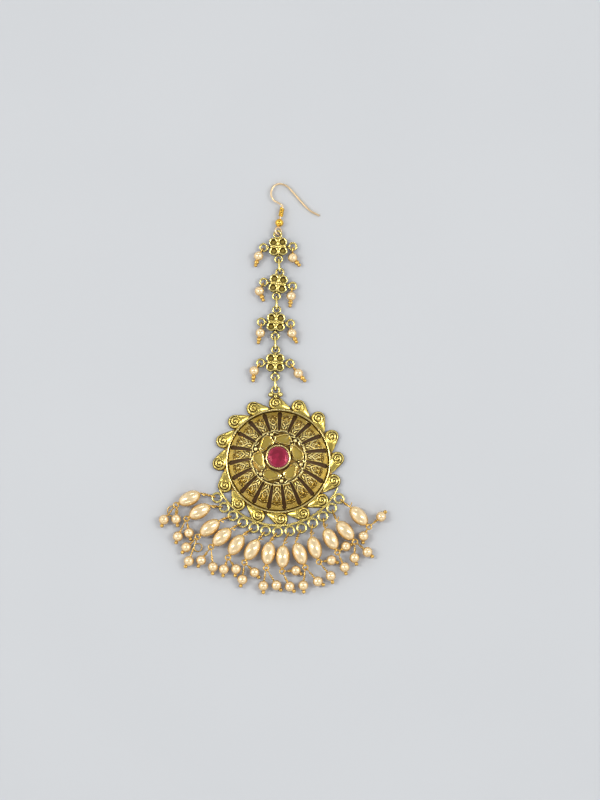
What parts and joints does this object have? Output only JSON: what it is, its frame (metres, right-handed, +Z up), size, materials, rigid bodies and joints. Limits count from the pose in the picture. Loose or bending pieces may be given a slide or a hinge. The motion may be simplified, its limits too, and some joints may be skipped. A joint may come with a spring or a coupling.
{
  "type": "maang tikka",
  "caption": "Forehead jewel lying flat: hair hook, flower-link chain with small pearl drops, slotted dome medallion set with a red stone, and a fringe of long pearls.",
  "frame": {"origin": "centre of the footprint on the surface the jewel lies on", "axes": "+Z up out of the face of the medallion, +Y from the pearl fringe to the hair hook, +X to the right seen from the face"},
  "size_m": [0.0816, 0.1504, 0.0114],
  "materials": {
    "antique_gold": "antique gold plate, darkened in the recesses",
    "hook_gold": "bright pale gold wire",
    "bright_gold": "bright yellow gold plate",
    "wire_gold": "warm gold wire",
    "pearl": "cream pearl lacquer",
    "ruby": "foil-backed faceted red stone"
  },
  "bodies": {
    "root": {"hook_wire": "hook_gold", "hook_coil": "bright_gold", "hook_bead": "bright_gold", "flower_link_1": "antique_gold", "link_ring_1": "antique_gold", "flower_link_2": "antique_gold", "link_ring_2": "antique_gold", "flower_link_3": "antique_gold", "link_ring_3": "antique_gold", "flower_link_4": "antique_gold", "link_ring_4": "antique_gold", "side_drop_1_left": "wire_gold", "side_drop_1_right": "wire_gold", "side_drop_2_left": "wire_gold", "side_drop_2_right": "wire_gold", "side_drop_3_left": "wire_gold", "side_drop_3_right": "wire_gold", "side_drop_4_left": "wire_gold", "side_drop_4_right": "wire_gold", "medallion": "antique_gold", "centre_stone": "ruby", "oval_pearl_01": "pearl", "strand_01": "wire_gold", "oval_pearl_02": "pearl", "strand_02": "wire_gold", "oval_pearl_03": "pearl", "strand_03": "wire_gold", "oval_pearl_04": "pearl", "strand_04": "wire_gold", "oval_pearl_05": "pearl", "strand_05": "wire_gold", "oval_pearl_06": "pearl", "strand_06": "wire_gold", "oval_pearl_07": "pearl", "strand_07": "wire_gold", "oval_pearl_08": "pearl", "strand_08": "wire_gold", "oval_pearl_09": "pearl", "strand_09": "wire_gold", "oval_pearl_10": "pearl", "strand_10": "wire_gold", "oval_pearl_11": "pearl", "strand_11": "wire_gold", "oval_pearl_12": "pearl", "strand_12": "wire_gold", "oval_pearl_13": "pearl", "strand_13": "wire_gold"}
  },
  "joints": []
}
